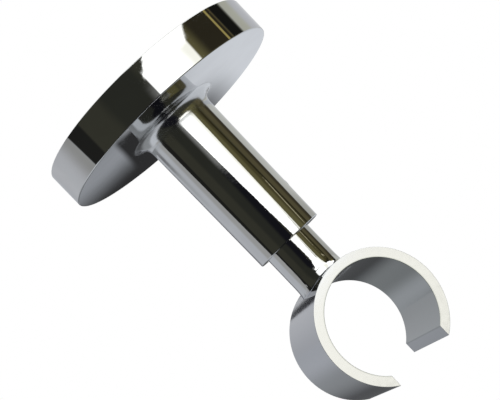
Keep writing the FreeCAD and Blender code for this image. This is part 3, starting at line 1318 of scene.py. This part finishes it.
@dataclass
class Studio:
    """The white background, the soft studio that the chrome mirrors, the pale floor and the camera.

    Each panel covers the panels before it.
    """

    plain_level: float = 1.12
    room: Colour = (0.052, 0.0515, 0.038)
    floor_drop: float = -800.0
    floor_radius: float = 120.0
    floor_colour: Colour = (0.9, 0.9, 0.9)
    eye: Place = (-68.393, -187.390, -43.272)
    target: Place = (0.0, 0.257, -27.075)
    near_and_far: tuple[float, float] = (0.01, 20.0)
    roll: float = 43.8
    lens: float = 80.47
    panels: tuple[Panel, ...] = (
        Panel("room_dusk", (0.034, 0.035, 0.028), (-146, -106), (12, 8)),
        Panel("sweep", (0.66, 0.68, 0.72), (8, 171), (6, 3), level=6, lean=(0.3, -0.9)),
        Panel("sweep_above", (0.65, 0.66, 0.69), (8, 171), (5, 3), (9, 25), (2, 20), 6, (0.3, -0.9)),
        Panel("sweep_warm", (0.57, 0.57, 0.53), (6, 46), (4, 24), (-3, 3.6), (1, 1.6)),
        Panel("sweep_warm_high", (0.72, 0.725, 0.68), (6, 46), (6, 24), (2.8, 9.3), (1.6, 1)),
        Panel("sweep_warm_start", (0.6, 0.6, 0.51), (8, 24), (6, 12), (9.3, 95)),
        Panel("sweep_glow", (0.7, 0.705, 0.71), (52, 80), (16, 10), (-5, 95)),
        Panel("sweep_glow_high", (0.88, 0.88, 0.88), (52, 80), (16, 10), (5.2, 9.2), (2, 1)),
        Panel("sweep_far_end", (0.42, 0.42, 0.41), (151, 171), (24, 3), (9.3, 95), level=6, lean=(0, -0.9)),
        Panel("sweep_edge", (0.52, 0.52, 0.51), (154, 171), (12, 3), (-60, 9.4), level=6, lean=(0, -0.9)),
        Panel("sweep_dusk", (0.52, 0.54, 0.56), (114, 134), (8, 16), (5.5, 9.4), (4, 1)),
        Panel("root_dusk", (0.24, 0.245, 0.26), (114, 131), (8, 10), (7.9, 9.4), (1.6, 1)),
        Panel("ring_dusk", (0.41, 0.43, 0.465), (72.5, 104), (1.5, 26), (-95, 12), (1, 14)),
        Panel("sweep_seam", (0.16, 0.16, 0.18), (72, 94), (2, 8), (-1, 9), (3, 1), 5, (0, -1)),
        Panel("sweep_below", (0.8, 0.83, 0.88), (8, 72), (5, 2), (-60, -4), (20, 5)),
        Panel("sweep_below_left", (0.8, 0.83, 0.88), (118, 171), (20, 3), (-60, -4), (20, 5)),
        Panel("ring_shade", (0.37, 0.385, 0.4), (92, 135), (8, 14), (-60, -6), (10, 14)),
        Panel("table_dusk", (0.105, 0.108, 0.112), (68, 95), (6, 18), (-95, -12), (1, 4)),
        Panel("end_dusk", (0.05, 0.05, 0.05), (40, 98), (6, 5), (-3.8, -1.4), (0.5, 0.5)),
        Panel("flag", (0.035, 0.035, 0.036), (67.3, 83), (3.6, 3.5), (-10.35, -4), (1.5, 3)),
        Panel("dark_gap", (0.03, 0.03, 0.034), (70, 85.5), (4, 1.5), (15, 40), (1.5, 10)),
        Panel("flag_stand", (0.035, 0.035, 0.036), (70.8, 73.05), (0.4, 0.45), (-11.5, -9), (0.4, 1)),
        Panel("black_edge", (0.02, 0.02, 0.018), (171, 184), (2, 3), level=6, lean=(-0.9, 0)),
        Panel("below_edge", (0.04, 0.041, 0.034), (171.5, 230), (4, 4), (-95, -0.2), (1, 2)),
        Panel("dark_card", (0.011, 0.011, 0.015), (-118, -96), (12, 3), (-95, 5.5), level=3, lean=(0.8, 0)),
        Panel("card_glow", (0.3, 0.3, 0.29), (-112, -100), (14, 2), (5.5, 9.4), (2, 0.4), 7),
        Panel("rim_glow", (0.26, 0.26, 0.25), (-107, -100), (12, 2), (9.4, 10.6), (0.4, 1)),
        Panel("softbox_foot", (1.95, 1.9, 1.68), (-98, -54), (1.5, 5), (-9, -0.2), (0.5, 0.4)),
        Panel(
            "softbox_low", (2.2, 2.2, 2.15), (-95.75, -60), (1.5, 4), (-0.7, 3.2), (0.4, 0.4), 3,
            (-2.5, 2.5),
        ),
        Panel("softbox", (2.2, 2.2, 2.15), (-100, -57.5), (1.5, 3), (2.8, 9.5), (0.4, 0.4), 5.5, (-1.7, 1)),
        Panel("softbox_head", (2.2, 2.2, 2.15), (-103, -54.5), (1.5, 3), (9.1, 11.45), (0.4, 0.3)),
        Panel("softbox_crown", (2.2, 2.2, 2.15), (-112, 6), (10, 8), (12.8, 50), (0.8, 20)),
        Panel("softbox_warm_side", (1.62, 1.6, 1.44), (-64, -50), (10, 1), (-0.4, 95)),
        Panel(
            "warm_wall", (0.165, 0.148, 0.066), (-54.5, -30), (2.5, 20), (-30, 12.6), (1, 0.6), 9,
            (0.6, 0),
        ),
        Panel("warm_dusk", (0.035, 0.03, 0.018), (-46, -9), (14, 2), (9.4, 12.5), (1, 0.6)),
        Panel(
            "softbox_top", (2.2, 2.2, 2.12), (-103, -53.2), (1.5, 3), (11.2, 13.2), (0.3, 0.3), 11.3,
            (13, 10),
        ),
        Panel("brown_wall", (0.125, 0.108, 0.056), (-25, 3), (3, 3), (-30, 9.4)),
        Panel("brown_dusk", (0.06, 0.05, 0.03), (-8, 3.5), (10, 2), (-1, 9.4)),
        Panel("warm_fold", (0.09, 0.078, 0.034), (-43, -28), (8, 2), (-3, 9.4)),
        Panel("dark_line", (0.035, 0.03, 0.014), (-32, -26), (6, 2.5), (-1, 9.4), level=4, lean=(-0.8, -0.8)),
        Panel(
            "gold_glint", (0.55, 0.5, 0.33), (-35.4, -32.6), (1.5, 1.5), (0.8, 3.8), level=2.5,
            lean=(1.2, 1.2),
        ),
        Panel("gold_line", (0.48, 0.39, 0.13), (-17, -14.4), ends=(9.6, 13)),
        Panel("gold_echo", (0.11, 0.09, 0.04), (-11, -9.2), ends=(9.6, 13)),
        Panel("black_end", (0.012, 0.012, 0.01), (-8.5, 5), (1.5, 2), (9.6, 40)),
        Panel("high_ceiling", (0.75, 0.76, 0.78), (-180, 180), (0.01, 0.01), (60, 95), (25, 1)),
    )

    def studio_colour(self, graph: Graph) -> Wire:
        """The colour that the chrome mirrors in each direction.

        Args:
            graph: The world's nodes.

        Returns:
            The colour, by direction.
        """
        direction = graph.add("ShaderNodeTexCoord", None, None, "Generated")
        across, along, up = direction.parts()
        azimuth = graph.math("ARCTAN2", along, across) * math.degrees(1)
        elevation = graph.math("ARCSINE", up) * math.degrees(1)
        colour = graph.blend(0.0, self.room, self.room)
        for panel in self.panels:
            colour = graph.blend(panel.cover(azimuth, elevation), colour, panel.colour)
        return colour

    def build_world(self) -> None:
        """Makes the world: white behind, a plain level on the floor, the studio in the metal."""
        world = bpy.data.worlds.new("studio")
        world.use_nodes = True
        world.cycles.sampling_method = "NONE"
        graph = Graph(world.node_tree)
        rays = graph.add("ShaderNodeLightPath")
        node = rays.socket.node
        camera = Wire(graph, node.outputs["Is Camera Ray"])
        glossy = Wire(graph, node.outputs["Is Glossy Ray"])
        through = Wire(graph, node.outputs["Is Transmission Ray"])
        plain = (self.plain_level,) * 3
        lit = graph.blend(glossy.larger(through), plain, self.studio_colour(graph))
        seen = graph.blend(camera, lit, (1.0, 1.0, 1.0))
        shader = graph.add("ShaderNodeBackground", None, {"Color": seen, "Strength": 1.0})
        graph.add("ShaderNodeOutputWorld", None, {"Surface": shader})
        bpy.context.scene.world = world

    def build_floor(self) -> None:
        """Makes the pale floor under the bracket."""
        floor = lathe("studio_floor", [(0.0, 0.0), (self.floor_radius, 0.0)], 96, closed=False)
        floor.matrix_world = Matrix.Translation((0, 0, self.floor_drop * MM))
        material = bpy.data.materials.new("floor_paint")
        material.use_nodes = True
        graph = Graph(material.node_tree)
        inputs = {"Base Color": self.floor_colour, "Roughness": 0.9}
        shader = graph.add("ShaderNodeBsdfPrincipled", None, inputs)
        graph.add("ShaderNodeOutputMaterial", None, {"Surface": shader})
        floor.data.materials.append(material)

    def build_camera(self) -> None:
        """Sets the camera where the photograph was taken."""
        data = bpy.data.cameras.new("camera")
        data.lens = self.lens
        data.clip_start, data.clip_end = self.near_and_far
        camera = bpy.data.objects.new("camera", data)
        eye = Vector(self.eye) * MM
        look = Vector(self.target) * MM - eye
        level = look.to_track_quat("-Z", "Y").to_matrix().to_4x4()
        rolled = Matrix.Rotation(-math.radians(self.roll), 4, "Z")
        camera.matrix_world = Matrix.Translation(eye) @ level @ rolled
        bpy.context.scene.collection.objects.link(camera)
        bpy.context.scene.camera = camera

    def build(self) -> None:
        """Builds the studio."""
        self.build_world()
        self.build_floor()
        self.build_camera()
        bpy.context.scene.view_settings.view_transform = "Standard"


def main() -> None:
    """Builds the pieces round the frame, then the studio."""
    logging.basicConfig(level=logging.INFO, format="%(message)s")
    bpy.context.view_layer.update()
    makers: list[Callable[[], bpy.types.Object]] = [
        Rosette(Extent.of(Node.ROSETTE)).build,
        PoleRing(Extent.of(Node.POLE_RING)).build,
        CeilingPlate(Extent.of(Node.CEILING_PLATE)).build,
        ThreadedStud(Extent.of(Node.THREADED_STUD)).build,
        GrubScrew(Extent.of(Node.GRUB_SCREW)).build,
    ]
    for make in makers:
        piece = make()
        triangles = sum(len(face.vertices) - 2 for face in piece.data.polygons)
        LOG.info("%s: %d triangles", piece.name, triangles)
    Studio().build()


if __name__ == "__main__":
    main()
